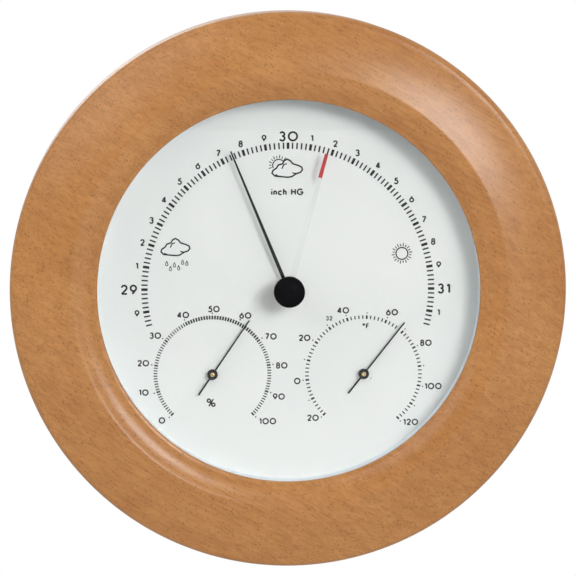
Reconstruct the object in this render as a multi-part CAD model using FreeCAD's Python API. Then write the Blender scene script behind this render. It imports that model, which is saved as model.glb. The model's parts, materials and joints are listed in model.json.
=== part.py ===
"""Round wall weather station in a turned beech case, after the usual small household pattern.

An aneroid barometer fills the upper dial. A hair-and-strip hygrometer sits at its lower left and a
bimetal thermometer at its lower right. A black knob through the glass turns a clear setting hand.

Frame: millimetres. The origin is the middle of the case's flat back, on the wall. +Z is up and -Y points
out of the wall to the viewer, so a "depth" here is the distance out from the wall, which is -Y.
Clock angles are degrees clockwise from the top, as a viewer sees them.
"""

import math
import os

import FreeCAD
import Part

V = FreeCAD.Vector

# ---------------------------------------------------------------- driving dimensions
CASE_R = 105.0            # outer radius of the beech case
CASE_WALL = 29.3          # depth where the outer round-over ends
RIDGE_R, RIDGE_DEPTH = 82.4, 35.0    # highest ring of the case front
LIP_R, LIP_DEPTH = 72.1, 32.0        # edge of the window
LIP_THICK = 1.8
GLASS_THICK = 2.0
AIR_GAP = 8.0             # dial face to glass
DIAL_THICK = 0.8
DIAL_R = 75.3
REBATE_R = 75.6           # seat of glass, spacer and dial
CAVITY_R = 80.0           # chamber behind the dial
COVER_SEAT_R, COVER_R = 86.0, 85.7
COVER_THICK = 2.0
COVER_BACK = 1.2          # the cover lies this far inside the wall plane

GLASS_FRONT = LIP_DEPTH - LIP_THICK
GLASS_BACK = GLASS_FRONT - GLASS_THICK
DIAL_FRONT = GLASS_BACK - AIR_GAP
DIAL_BACK = DIAL_FRONT - DIAL_THICK
COVER_FRONT = COVER_BACK + COVER_THICK

SUB_X, SUB_Z = 28.7, -32.3           # where the two small instruments sit, left and right
BARO_HAND_ANGLE = -22.5              # 29.75 inches of mercury
SET_HAND_ANGLE = 15.5                # 30.17 inches of mercury
HYGRO_HAND_ANGLE = 34.2              # 63 percent
THERMO_HAND_ANGLE = 38.4             # 68 degrees Fahrenheit

HAND_R = 56.8                        # barometer hand, axis to tip
SET_HAND_R, SET_TIP_START = 53.5, 44.2
SMALL_HAND_R, SMALL_TAIL_R = 24.9, 9.5
KNOB_R = 5.85

MODULE = 0.3                         # gears of the barometer movement
PINION_TEETH, SECTOR_TEETH = 12, 96
PRESSURE_ANGLE = math.radians(25)
ADDENDUM, DEDENDUM = 0.8 * MODULE, 1.1 * MODULE
TOOTH_THINNING = 0.035               # taken off each tooth at the pitch circle, for backlash
PINION_R = MODULE * PINION_TEETH / 2
SECTOR_R = MODULE * SECTOR_TEETH / 2
SECTOR_X = -(PINION_R + SECTOR_R)    # the sector's axis, level with the hand's
SECTOR_REACH = (-22.0, 18.0)         # degrees of teeth, below and above the line of centres at rest
GEAR_D0, GEAR_D1 = 14.4, 15.2        # depths of the sector's faces

TAIL_R = 4.0                         # sector axis to link pin
CRANK = 3.0                          # rocker axis to link pin
FINGER = 2.4                         # rocker axis to capsule stem
CAPSULE_Z, CAPSULE_R = 12.0, 20.0
CAPSULE_REAR, CAPSULE_RIM = 6.5, 8.8         # depths of its boss and of the joint between its shells
CAPSULE_FACES = (7.2, 10.4)
CAPSULE_WAVES = (3.4, 19.1)                  # radii of the corrugated band
WAVES, WAVE_HEIGHT, SKIN = 4, 0.33, 0.3
ROCKER_Z, ROCKER_D = CAPSULE_Z + FINGER, 13.4
LINK_X = SECTOR_X - TAIL_R

BACK_PLATE = (4.4, 5.4)              # depths of the movement's plates
BRIDGE = (12.4, 13.2)
FRONT_PLATE = (17.9, 18.7)
PIVOT_CLEARANCE = 0.03
SCREW_CLEARANCE = 0.05

OUT = "parts"


# ---------------------------------------------------------------- shape helpers
def cyl(r, d0, d1, x=0.0, z=0.0):
    """Cylinder along the depth axis, from depth d0 to depth d1."""
    return Part.makeCylinder(r, d1 - d0, V(x, -d0, z), V(0, -1, 0))


def tube(outer, inner, d0, d1, x=0.0, z=0.0):
    """Round tube along the depth axis."""
    return cyl(outer, d0, d1, x, z).cut(cyl(inner, d0 - 1, d1 + 1, x, z))


def box(x0, x1, d0, d1, z0, z1):
    """Box between two corners, with depths for its Y extent."""
    return Part.makeBox(x1 - x0, d1 - d0, z1 - z0, V(x0, -d1, z0))


def line(a, b):
    return Part.LineSegment(V(*a), V(*b)).toShape()


def arc(a, m, b):
    return Part.Arc(V(*a), V(*m), V(*b)).toShape()


def turned(steps, x=0.0, z=0.0):
    """Solid turned about the depth axis, from (radius, depth) steps.

    A ("via", radius, depth) step bends the run that follows it into an arc through that point.
    """
    edges, here, via = [], steps[0], None
    for step in steps[1:] + steps[:1]:
        if step[0] == "via":
            via = step[1:]
            continue
        a, b = (here[0], -here[1], 0), (step[0], -step[1], 0)
        if via:
            edges.append(arc(a, (via[0], -via[1], 0), b))
        else:
            edges.append(line(a, b))
        here, via = step, None
    solid = Part.Face(Part.Wire(edges)).revolve(V(0, 0, 0), V(0, 1, 0), 360)
    solid = Part.Solid(solid.Shells[0]) if solid.ShapeType != "Solid" else solid
    if solid.Volume < 0:
        solid.reverse()
    solid.translate(V(x, 0, z))
    return solid


def plate(points, d0, d1):
    """Flat plate with a straight-sided outline of (x, z) points."""
    wire = Part.makePolygon([V(x, -d0, z) for x, z in points + points[:1]])
    return Part.Face(wire).extrude(V(0, -(d1 - d0), 0))


def polar(radius, clock):
    """(x, z) at a clock angle."""
    a = math.radians(clock)
    return radius * math.sin(a), radius * math.cos(a)


def blade(clock, r0, r1, w0, w1, d0, d1, x=0.0, z=0.0):
    """Tapered flat blade pointing at a clock angle, w0 wide at r0 and w1 wide at r1."""
    a = math.radians(clock)
    along, across = (math.sin(a), math.cos(a)), (math.cos(a), -math.sin(a))
    outline = []
    for r, w in ((r0, w0 / 2), (r1, w1 / 2), (r1, -w1 / 2), (r0, -w0 / 2)):
        outline.append((x + r * along[0] + w * across[0], z + r * along[1] + w * across[1]))
    return plate(outline, d0, d1)


def obround(x, z0, z1, r, d0, d1):
    """Upright slot shape: a box with a round top and bottom."""
    middle = box(x - r, x + r, d0, d1, z0, z1)
    return middle.fuse([cyl(r, d0, d1, x, z0), cyl(r, d0, d1, x, z1)]).removeSplitter()


def spiral(r0, growth, half_turns, thick, d0, d1, x, z):
    """Flat coil spring made of half circles, each larger than the last by growth."""
    inner, outer = [], []
    sign, centre, r = 1, 0.0, r0
    for _ in range(half_turns):
        for rail, radius in ((inner, r - thick / 2), (outer, r + thick / 2)):
            ends = (centre - sign * radius, centre + sign * radius)
            rail.append(arc((ends[0], -d0, 0), (centre, -d0, sign * radius), (ends[1], -d0, 0)))
        centre -= sign * growth
        r += growth
        sign = -sign
    first = [e.Vertexes[0].Point for e in (inner[0], outer[0])]
    last = [e.Vertexes[-1].Point for e in (inner[-1], outer[-1])]
    edges = inner + outer + [line(tuple(first[0]), tuple(first[1])), line(tuple(last[0]), tuple(last[1]))]
    wire = Part.Wire(Part.__sortEdges__(edges))
    strip = Part.Face(wire).extrude(V(0, -(d1 - d0), 0))
    strip.translate(V(x, 0, z))
    return strip


def spiral_end(r0, growth, half_turns):
    """X of the coil's outer end, from the coil's own axis."""
    centre, sign, r = 0.0, 1, r0
    for _ in range(half_turns):
        end = centre + sign * r
        centre -= sign * growth
        r += growth
        sign = -sign
    return end


def group(solids):
    return Part.makeCompound(solids)


def save(name, shape):
    solids = shape.Solids
    if not solids or not all(s.isValid() and s.Volume > 0 for s in solids):
        raise SystemExit(f"{name} is not made of sound solids")
    shape.exportStep(os.path.join(OUT, name + ".step"))
    print(f"{name}: {len(solids)} solid(s), {sum(s.Volume for s in solids):.1f} mm3")


# ---------------------------------------------------------------- gear teeth
def flank(pitch_r, root_r, tip_r):
    """(radius, half angle) points of one tooth flank, from root to tip, on the involute."""
    base = pitch_r * math.cos(PRESSURE_ANGLE)
    half_at_pitch = (math.pi * MODULE / 2 - TOOTH_THINNING) / (2 * pitch_r)
    inv_pitch = math.tan(PRESSURE_ANGLE) - PRESSURE_ANGLE
    start = max(root_r, base)
    points = []
    if root_r < base:
        points.append((root_r, half_at_pitch + inv_pitch))
    steps = 4
    for i in range(steps + 1):
        r = start + (tip_r - start) * i / steps
        a = math.acos(min(1.0, base / r))
        points.append((r, half_at_pitch + inv_pitch - (math.tan(a) - a)))
    return points


def tooth_outline(pitch_r, centres):
    """Outline points of the teeth centred at the given angles, in radians from +X towards +Z."""
    profile = flank(pitch_r, pitch_r - DEDENDUM, pitch_r + ADDENDUM)
    outline = []
    for c in centres:
        outline += [(r * math.cos(c - h), r * math.sin(c - h)) for r, h in profile]
        outline += [(r * math.cos(c + h), r * math.sin(c + h)) for r, h in reversed(profile)]
    return outline


# ---------------------------------------------------------------- case
COVER_SCREWS = [polar(83.0, a) for a in (45, 135, 225, 315)]
CLIP_ANGLES = (0, 90, 180, 270)
CLIP_SCREWS = [polar(77.8, a) for a in CLIP_ANGLES]
KEY_ENTRY_Z, KEY_ENTRY_R = 92.6, 4.2
KEY_TOP_Z, KEY_SLOT_R = 96.6, 2.2
HANGER_THICK = 1.2
HANGER_HALF, HANGER_Z0, HANGER_Z1 = 11.0, 87.4, 102.0
HANGER_SCREWS = [(-8.0, 95.2), (8.0, 95.2)]
WOOD_SCREW_R, WOOD_SCREW_LONG = 1.15, 9.0


def wood_case():
    """Beech ring: a ridge between an outer slope and an inner slope, a window lip and a stepped chamber."""
    ring = turned([
        (COVER_SEAT_R, 0.0), (CASE_R - 2.0, 0.0), ("via", CASE_R - 0.6, 0.6), (CASE_R, 2.0),
        (CASE_R, CASE_WALL - 2.6), ("via", CASE_R - 0.75, CASE_WALL - 0.75), (CASE_R - 2.5, CASE_WALL + 0.1),
        ("via", 93.4, 32.55), (RIDGE_R + 1.7, RIDGE_DEPTH - 0.25), ("via", RIDGE_R, RIDGE_DEPTH),
        (RIDGE_R - 1.7, RIDGE_DEPTH - 0.3), ("via", 76.9, 33.95), (LIP_R + 0.9, LIP_DEPTH),
        ("via", LIP_R + 0.25, LIP_DEPTH - 0.25), (LIP_R, LIP_DEPTH - 0.9), (LIP_R, GLASS_FRONT),
        (REBATE_R, GLASS_FRONT), (REBATE_R, DIAL_BACK), (CAVITY_R, DIAL_BACK),
        (CAVITY_R, COVER_FRONT), (COVER_SEAT_R, COVER_FRONT),
    ])
    pilot = WOOD_SCREW_R + SCREW_CLEARANCE
    cuts = [cyl(pilot, 0.5, COVER_FRONT + WOOD_SCREW_LONG, x, z) for x, z in COVER_SCREWS]
    cuts += [cyl(pilot, DIAL_BACK - 1, DIAL_BACK + 5.5, x, z) for x, z in CLIP_SCREWS]
    cuts.append(box(-HANGER_HALF - 0.1, HANGER_HALF + 0.1, -1, HANGER_THICK, HANGER_Z0 - 0.1, HANGER_Z1 + 0.1))
    cuts.append(obround(0, KEY_ENTRY_Z, KEY_TOP_Z, KEY_ENTRY_R + 0.5, -1, 7.5))
    cuts += [cyl(pilot, 0, HANGER_THICK + 8, x, z) for x, z in HANGER_SCREWS]
    return ring.cut(cuts)


def wood_screw(x, z, head_depth, long, head_r=2.3, head_h=1.0):
    """Slotted pan-head wood screw driven in from the back. head_depth is the depth of the face it holds."""
    head = cyl(head_r, head_depth - head_h, head_depth, x, z)
    slot = box(x - head_r, x + head_r, head_depth - head_h - 0.1, head_depth - head_h + 0.45, z - 0.3, z + 0.3)
    tip = Part.makeCone(WOOD_SCREW_R, 0.3, 1.5, V(x, -(head_depth + long - 1.5), z), V(0, -1, 0))
    return head.fuse([cyl(WOOD_SCREW_R, head_depth, head_depth + long - 1.5, x, z), tip]).cut(slot)


def hanger_screw(x, z):
    """Countersunk wood screw that lies flush in the hanger plate."""
    head = Part.makeCone(2.2, WOOD_SCREW_R, 1.1, V(x, 0, z), V(0, -1, 0))
    shank = cyl(WOOD_SCREW_R, 1.1, HANGER_THICK + 6, x, z)
    return head.fuse(shank).cut(box(x - 3, x + 3, -0.1, 0.4, z - 0.3, z + 0.3))


def hanger_plate():
    """Brass keyhole plate let in flush at the top of the back."""
    blank = box(-HANGER_HALF, HANGER_HALF, 0, HANGER_THICK, HANGER_Z0, HANGER_Z1)
    cuts = [cyl(KEY_ENTRY_R, -1, 3, 0, KEY_ENTRY_Z), obround(0, KEY_ENTRY_Z, KEY_TOP_Z, KEY_SLOT_R, -1, 3)]
    for x, z in HANGER_SCREWS:
        cuts.append(Part.makeCone(2.25, WOOD_SCREW_R + SCREW_CLEARANCE, 1.1, V(x, 0, z), V(0, -1, 0)))
        cuts.append(cyl(WOOD_SCREW_R + SCREW_CLEARANCE, 0, 3, x, z))
    return blank.cut(cuts)


def rear_cover():
    """Black moulded cover with a rim, rows of vents and an access hole behind each adjuster."""
    shell = cyl(COVER_R, COVER_BACK, COVER_FRONT)
    cuts = [cyl(WOOD_SCREW_R + 0.25, 0, 5, x, z) for x, z in COVER_SCREWS]
    for i in range(9):
        x = (i - 4) * 9.0
        cuts.append(obround(x, 42, 60 - abs(i - 4) * 1.6, 1.8, 0, 5))
        cuts.append(obround(x, -66 + abs(i - 4) * 1.6, -52, 1.8, 0, 5))
    cuts.append(cyl(4.0, 0, 5, 0, CAPSULE_Z))
    cuts += [cyl(4.0, 0, 5, sx * SUB_X, SUB_Z) for sx in (-1, 1)]
    rib = tube(79.6, 77.8, COVER_FRONT, COVER_FRONT + 3.0)
    return shell.cut(cuts).fuse(rib)


def dial_clip(clock):
    """Steel tongue screwed to the wood shoulder that holds the dial down."""
    tongue = blade(clock, 70.5, 79.6, 7.0, 7.0, DIAL_BACK - 0.8, DIAL_BACK)
    x, z = polar(77.8, clock)
    return tongue.cut(cyl(WOOD_SCREW_R + 0.1, 0, 25, x, z))


def clip_screw(clock):
    x, z = polar(77.8, clock)
    return wood_screw(x, z, DIAL_BACK - 0.8, 5.5, head_r=1.9, head_h=0.9)


# ---------------------------------------------------------------- window and setting hand
BUSH_R, SPINDLE_R = 2.1, 1.2
SET_D0, SET_D1 = 25.6, 26.4


def glass():
    """Flat round window with a hole for the setting spindle."""
    return cyl(REBATE_R - 0.2, GLASS_BACK, GLASS_FRONT).cut(cyl(BUSH_R + 0.05, 20, 40))


def setting_bush():
    """Brass grommet in the glass."""
    return turned([
        (SPINDLE_R + PIVOT_CLEARANCE, GLASS_BACK - 0.6), (3.4, GLASS_BACK - 0.6), (3.4, GLASS_BACK),
        (BUSH_R, GLASS_BACK), (BUSH_R, GLASS_FRONT + 0.3), (SPINDLE_R + PIVOT_CLEARANCE, GLASS_FRONT + 0.3),
    ])


def setting_knob():
    """Low domed knob with a dimple and a soft rim."""
    base = GLASS_FRONT + 1.0
    return turned([
        (0.0, base + 3.9), (SPINDLE_R, base + 3.9), (SPINDLE_R, base), (KNOB_R - 0.5, base),
        ("via", KNOB_R - 0.15, base + 0.15), (KNOB_R, base + 0.5), (KNOB_R, base + 2.6),
        ("via", KNOB_R - 0.25, base + 3.35), (KNOB_R - 0.9, base + 3.9), ("via", 2.9, base + 4.85),
        (0.9, base + 5.15), ("via", 0.6, base + 5.07), (0.3, base + 5.04), (0.0, base + 5.04),
    ])


def setting_washer():
    """Spring washer that keeps the knob where it is left."""
    return tube(3.6, BUSH_R + 0.1, GLASS_FRONT + 0.1, GLASS_FRONT + 1.0)


def setting_spindle():
    """Brass pin through the glass, headed behind the hand."""
    pin = cyl(SPINDLE_R, SET_D0 - 0.4, GLASS_FRONT + 4.9)
    return pin.fuse([cyl(1.9, SET_D0 - 0.7, SET_D0), cyl(1.9, SET_D1, SET_D1 + 0.6)])


def setting_hand():
    """Clear acrylic hand, without its coloured end."""
    hub = cyl(3.6, SET_D0, SET_D1)
    arm = blade(SET_HAND_ANGLE, 0.0, SET_TIP_START, 2.2, 1.45, SET_D0, SET_D1)
    return hub.fuse(arm).cut(cyl(SPINDLE_R, 20, 40)).removeSplitter()


def setting_hand_tip():
    return blade(SET_HAND_ANGLE, SET_TIP_START, SET_HAND_R, 1.45, 1.25, SET_D0, SET_D1)


# ---------------------------------------------------------------- dial
DIAL_HOLE_R, SUB_HOLE_R = 2.6, 1.5


def dial_plate():
    """White enamelled sheet with the three spindle holes and the rivet holes of the small instruments."""
    sheet = cyl(DIAL_R, DIAL_BACK, DIAL_FRONT)
    holes = [cyl(DIAL_HOLE_R, 0, 40)] + [cyl(SUB_HOLE_R, 0, 40, sx * SUB_X, SUB_Z) for sx in (-1, 1)]
    return sheet.cut(holes)


def spacer_ring():
    return tube(DIAL_R, LIP_R + 0.3, DIAL_FRONT, GLASS_BACK)


# ---------------------------------------------------------------- barometer movement
PILLARS = [(19.05, 23.0), (-19.05, 23.0), (0.0, -10.0)]
POSTS = [(6.5, 0.0), (SECTOR_X, -8.0), (SECTOR_X, 8.0)]
FRONT_CENTRE_Z, FRONT_R = 10.0, 26.0
ARBOR_R, SECTOR_ARBOR_R, ROCKER_R = 0.5, 0.6, 0.6
SHAFT_X0, SHAFT_X1 = LINK_X - 3.2, 4.6
HAND_D0, HAND_D1 = 23.3, 23.7


def back_plate():
    """Rear plate of the movement, with a threaded boss for the adjusting screw."""
    disc = cyl(24.5, *BACK_PLATE, 0, CAPSULE_Z)
    boss = cyl(3.2, BACK_PLATE[0] - 0.8, BACK_PLATE[0], 0, CAPSULE_Z)
    cuts = [cyl(1.45, 0, 8, 0, CAPSULE_Z)] + [cyl(1.05, 0, 8, x, z) for x, z in PILLARS]
    return disc.fuse(boss).cut(cuts).removeSplitter()


def front_plate():
    """Front plate, with the bearings of hand and sector."""
    disc = cyl(FRONT_R, *FRONT_PLATE, 0, FRONT_CENTRE_Z)
    cuts = [cyl(1.6, 10, 25), cyl(SECTOR_ARBOR_R + PIVOT_CLEARANCE, 10, 25, SECTOR_X, 0)]
    cuts += [cyl(1.05, 10, 25, x, z) for x, z in PILLARS]
    return disc.cut(cuts)


def pillars():
    """Three turned pillars with a screw end through each plate."""
    solids = []
    for x, z in PILLARS:
        body = cyl(1.6, BACK_PLATE[1], FRONT_PLATE[0], x, z)
        ends = cyl(1.0, BACK_PLATE[0], FRONT_PLATE[1], x, z)
        solids.append(body.fuse(ends))
    return group(solids)


def pillar_nuts():
    """Hexagon nuts on the rear ends of the pillars."""
    solids = []
    for x, z in PILLARS:
        hexagon = [(x + 2.1 * math.cos(k * math.pi / 3), z + 2.1 * math.sin(k * math.pi / 3)) for k in range(6)]
        solids.append(plate(hexagon, BACK_PLATE[0] - 0.9, BACK_PLATE[0]))
    return group(solids)


def centre_tube():
    """Threaded tube that carries the movement on the dial and the front bearing of the hand."""
    return turned([
        (ARBOR_R + PIVOT_CLEARANCE, FRONT_PLATE[0]), (1.55, FRONT_PLATE[0]), (1.55, FRONT_PLATE[1]),
        (3.6, FRONT_PLATE[1]), (3.6, DIAL_BACK), (2.5, DIAL_BACK), (2.5, DIAL_FRONT + 1.8),
        (ARBOR_R + PIVOT_CLEARANCE, DIAL_FRONT + 1.8),
    ])


def centre_nut():
    """Hexagon nut on the dial, under the knob."""
    hexagon = [(4.5 * math.cos(k * math.pi / 3), 4.5 * math.sin(k * math.pi / 3)) for k in range(6)]
    return plate(hexagon, DIAL_FRONT, DIAL_FRONT + 1.5).cut(cyl(2.55, 15, 30))


def bridge():
    """Strap that carries the rear pivots of hand and sector."""
    outline = [(9, -2.6), (9, 2.6), (SECTOR_X + 3, 2.6), (SECTOR_X + 2.4, 10.0), (SECTOR_X - 2.4, 10.0),
               (SECTOR_X - 2.4, -10.0), (SECTOR_X + 2.4, -10.0), (SECTOR_X + 3, -2.6)]
    cuts = [cyl(ARBOR_R + PIVOT_CLEARANCE, 10, 15), cyl(SECTOR_ARBOR_R + PIVOT_CLEARANCE, 10, 15, SECTOR_X, 0)]
    return plate(outline, *BRIDGE).cut(cuts)


def bridge_posts():
    return group([cyl(1.2, BRIDGE[1], FRONT_PLATE[0], x, z) for x, z in POSTS])


def diaphragm(face, rim, out):
    """One corrugated shell of the capsule. out is +1 if its face looks forward and -1 if it looks back."""
    inside = face - out * SKIN
    pitch = (CAPSULE_WAVES[1] - CAPSULE_WAVES[0]) / WAVES

    def waves(level):
        steps = [(CAPSULE_WAVES[0], level)]
        for i in range(WAVES):
            r = CAPSULE_WAVES[0] + i * pitch
            steps += [("via", r + pitch / 4, level + WAVE_HEIGHT), (r + pitch / 2, level)]
            steps += [("via", r + 3 * pitch / 4, level - WAVE_HEIGHT), (r + pitch, level)]
        return steps

    flange = rim + out * SKIN
    edge = CAPSULE_WAVES[1] + SKIN
    steps = [(0, inside)] + waves(inside) + [(CAPSULE_WAVES[1], rim), (CAPSULE_R, rim), (CAPSULE_R, flange)]
    steps += [(edge, flange), (edge, face)] + waves(face)[::-1] + [(0, face)]
    return turned(steps, 0, CAPSULE_Z)


def capsule_rear_shell():
    """Fixed half of the evacuated capsule, with the boss that sits on the leaf spring."""
    boss = cyl(3.0, CAPSULE_REAR, CAPSULE_FACES[0], 0, CAPSULE_Z)
    return diaphragm(CAPSULE_FACES[0], CAPSULE_RIM, -1).fuse(boss)


def capsule_front_shell():
    """Moving half of the evacuated capsule."""
    return diaphragm(CAPSULE_FACES[1], CAPSULE_RIM + 0.02, 1)


def capsule_leaf():
    """Leaf spring between back plate and capsule, which the adjusting screw bends."""
    leaf = box(-2.5, 15.0, CAPSULE_REAR - 0.4, CAPSULE_REAR, CAPSULE_Z - 2.5, CAPSULE_Z + 2.5)
    foot = box(11.0, 15.0, BACK_PLATE[1], CAPSULE_REAR - 0.4, CAPSULE_Z - 2.5, CAPSULE_Z + 2.5)
    return leaf.fuse(foot).removeSplitter()


def adjusting_screw():
    """Slotted screw reached through the rear cover, which sets the barometer to the local height."""
    screw = cyl(1.4, 3.4, CAPSULE_REAR - 0.45, 0, CAPSULE_Z)
    return screw.cut(box(-2, 2, 3.3, 4.0, CAPSULE_Z - 0.25, CAPSULE_Z + 0.25))


def capsule_stem():
    """Ball-ended stem on the capsule's front face that lifts the rocker."""
    ball_r = 0.5
    ball_d = ROCKER_D - 0.35 - 0.06 - ball_r
    return turned([
        (0, CAPSULE_FACES[1]), (1.6, CAPSULE_FACES[1]), (1.6, CAPSULE_FACES[1] + 0.4),
        (ball_r, CAPSULE_FACES[1] + 0.4), (ball_r, ball_d),
        ("via", ball_r * math.sqrt(0.5), ball_d + ball_r * math.sqrt(0.5)), (0, ball_d + ball_r),
    ], 0, CAPSULE_Z)


def rocker():
    """Cross shaft with a finger on the capsule stem and a crank for the link."""
    shaft = Part.makeCylinder(ROCKER_R, SHAFT_X1 - SHAFT_X0, V(SHAFT_X0, -ROCKER_D, ROCKER_Z), V(1, 0, 0))
    finger = box(-0.6, 0.6, ROCKER_D - 0.35, ROCKER_D + 0.35, CAPSULE_Z, ROCKER_Z)
    pad = Part.makeCylinder(0.35, 1.2, V(-0.6, -ROCKER_D, CAPSULE_Z), V(1, 0, 0))
    crank = box(LINK_X + 0.2, LINK_X + 1.0, ROCKER_D, ROCKER_D + CRANK, ROCKER_Z - 0.4, ROCKER_Z + 0.4)
    pin = Part.makeCylinder(0.35, 1.9, V(LINK_X - 0.9, -(ROCKER_D + CRANK), ROCKER_Z), V(1, 0, 0))
    return shaft.fuse([finger, pad, crank, pin])


def rocker_bearings():
    """Two lugs on the front plate that carry the rocker."""
    lugs = []
    for x in (SHAFT_X0 + 0.3, SHAFT_X1 - 1.3):
        lug = box(x, x + 1.0, ROCKER_D - 1.3, FRONT_PLATE[0], ROCKER_Z - 1.5, ROCKER_Z + 1.5)
        hole = Part.makeCylinder(ROCKER_R + PIVOT_CLEARANCE, 3, V(x - 1, -ROCKER_D, ROCKER_Z), V(1, 0, 0))
        lugs.append(lug.cut(hole))
    return group(lugs)


def link():
    """Short link from the rocker's crank down to the sector's tail, with a lug turned a quarter at its top."""
    pin_d = ROCKER_D + CRANK
    strip = box(LINK_X - 0.75, LINK_X + 0.75, 15.7, 16.2, 0.0, ROCKER_Z - 1.6)
    eye = cyl(1.15, 15.7, 16.2, LINK_X, 0)
    neck = box(LINK_X - 0.75, LINK_X - 0.25, 15.7, 16.2, ROCKER_Z - 1.7, ROCKER_Z)
    lug = Part.makeCylinder(1.1, 0.5, V(LINK_X - 0.75, -pin_d, ROCKER_Z), V(1, 0, 0))
    hole_low = cyl(0.65, 15, 17, LINK_X, 0)
    hole_high = Part.makeCylinder(0.65, 3, V(LINK_X - 2, -pin_d, ROCKER_Z), V(1, 0, 0))
    return strip.fuse([eye, neck, lug]).cut([hole_low, hole_high])


def sector():
    """Toothed sector with its tail and link pin."""
    step = 2 * math.pi / SECTOR_TEETH
    low, high = (math.radians(a) for a in SECTOR_REACH)
    first, last = math.ceil(low / step), math.floor(high / step)
    teeth = tooth_outline(SECTOR_R, [k * step for k in range(first, last + 1)])
    rim = SECTOR_R - DEDENDUM
    edge = step / 2
    start, end = first * step - edge, last * step + edge
    outline = [(rim * math.cos(start), rim * math.sin(start))] + teeth
    outline += [(rim * math.cos(end), rim * math.sin(end)), (0.0, 1.6), (-1.5, 0.0), (0.0, -1.6)]
    blank = plate([(SECTOR_X + x, z) for x, z in outline], GEAR_D0, GEAR_D1)
    window = [(6.0, -1.0), (11.8, -3.4), (12.4, 0.0), (11.8, 2.6), (6.0, 1.0)]
    blank = blank.cut(plate([(SECTOR_X + x, z) for x, z in window], GEAR_D0 - 1, GEAR_D1 + 1))
    tail = box(LINK_X, SECTOR_X, GEAR_D0, GEAR_D1, -0.8, 0.8)
    tip = cyl(0.8, GEAR_D0, GEAR_D1, LINK_X, 0)
    pin = cyl(0.35, GEAR_D1 - 0.1, 16.8, LINK_X, 0)
    return blank.fuse([tail, tip, pin]).cut(cyl(SECTOR_ARBOR_R, 10, 20, SECTOR_X, 0))


def sector_arbor():
    return cyl(SECTOR_ARBOR_R, BRIDGE[0] + 0.05, FRONT_PLATE[1] - 0.1, SECTOR_X, 0)


def pinion():
    """Twelve-leaf pinion, with a gap facing the sector's middle tooth."""
    step = 2 * math.pi / PINION_TEETH
    outline = tooth_outline(PINION_R, [math.pi - step / 2 + k * step for k in range(PINION_TEETH)])
    return plate(outline, GEAR_D0 - 0.2, GEAR_D1 + 0.2).cut(cyl(ARBOR_R, 10, 20))


def barometer_arbor():
    return cyl(ARBOR_R, BRIDGE[0] + 0.05, HAND_D1 + 0.2)


HAIR_D0, HAIR_D1 = 16.2, 16.7
COLLET_R, HAIR_THICK, HAIR_GROWTH, HAIR_TURNS = 1.05, 0.12, 0.34, 9     # turns are half turns
HAIR_R0 = COLLET_R + HAIR_THICK / 2
STUD_R = 0.45
COIL_GAP = 0.04           # between a coil's outer end and the pin that anchors it


def hairspring_collet():
    return tube(COLLET_R, ARBOR_R, HAIR_D0 - 0.2, HAIR_D1 + 0.3)


def hairspring():
    """Flat spiral that takes up the play of the gears."""
    return spiral(HAIR_R0, HAIR_GROWTH, HAIR_TURNS, HAIR_THICK, HAIR_D0, HAIR_D1, 0, 0)


def hairspring_stud():
    x = spiral_end(HAIR_R0, HAIR_GROWTH, HAIR_TURNS) + HAIR_THICK / 2 + COIL_GAP + STUD_R
    return cyl(STUD_R, HAIR_D0 - 0.1, FRONT_PLATE[0], x, 0)


def barometer_hand():
    """Black tapered hand with a round boss and a pipe that grips the arbor."""
    boss = cyl(2.4, HAND_D0, HAND_D1)
    pipe = cyl(1.0, HAND_D0 - 1.1, HAND_D1 + 0.4)
    arm = blade(BARO_HAND_ANGLE, -4.5, HAND_R, 1.55, 0.6, HAND_D0, HAND_D1)
    return boss.fuse([pipe, arm]).cut(cyl(ARBOR_R, 10, HAND_D1 + 0.2))


# ---------------------------------------------------------------- small instruments
FRAME_HALF, FRAME_TALL = 13.5, 5.0
FRAME_BACK = (8.0, 8.8)
SMALL_ARBOR_R, REGULATOR_R = 0.5, 2.2
COIL_D0, COIL_D1 = 11.0, 14.2
SMALL_COLLET_R = 1.35
COIL_GROWTH, COIL_TURNS = 0.8, 11
SMALL_HAND_D0, SMALL_HAND_D1 = 21.6, 22.0


def instrument_frame(x, z):
    """Bent brass strap behind the dial: front ears, two legs and a rear bearing strap."""
    low, high = z - FRAME_TALL, z + FRAME_TALL
    front = box(x - FRAME_HALF - 4, x + FRAME_HALF + 4, DIAL_BACK - 0.8, DIAL_BACK, low, high)
    rear = box(x - FRAME_HALF, x + FRAME_HALF, *FRAME_BACK, low, high)
    legs = [box(x0, x0 + 0.8, FRAME_BACK[0], DIAL_BACK, low, high)
            for x0 in (x - FRAME_HALF, x + FRAME_HALF - 0.8)]
    cuts = [cyl(REGULATOR_R + PIVOT_CLEARANCE, 5, 10, x, z), cyl(SMALL_ARBOR_R + PIVOT_CLEARANCE, 15, 25, x, z)]
    return front.fuse([rear] + legs).cut(cuts).removeSplitter()


def instrument_rivets(x, z):
    """Rivets that hold the frame's ears against the dial."""
    return group([cyl(1.3, DIAL_BACK - 1.5, DIAL_BACK - 0.8, x + s * (FRAME_HALF + 2), z) for s in (-1, 1)])


def regulator(x, z, thick):
    """Slotted stud in the rear strap whose arm anchors the coil, turned a little to calibrate."""
    stud = cyl(REGULATOR_R, 6.8, 9.0, x, z)
    disc = cyl(3.2, 9.0, 9.6, x, z)
    reach = x + spiral_end(SMALL_COLLET_R + thick / 2, COIL_GROWTH, COIL_TURNS) + thick / 2 + COIL_GAP + STUD_R
    arm = box(x, reach, 9.0, 9.6, z - 0.9, z + 0.9)
    pin = cyl(STUD_R, 9.0, COIL_D1, reach, z)
    cuts = [box(x - 3, x + 3, 6.7, 7.5, z - 0.3, z + 0.3), cyl(SMALL_ARBOR_R + PIVOT_CLEARANCE, 8.2, 12, x, z)]
    return stud.fuse([disc, arm, pin]).cut(cuts)


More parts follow.
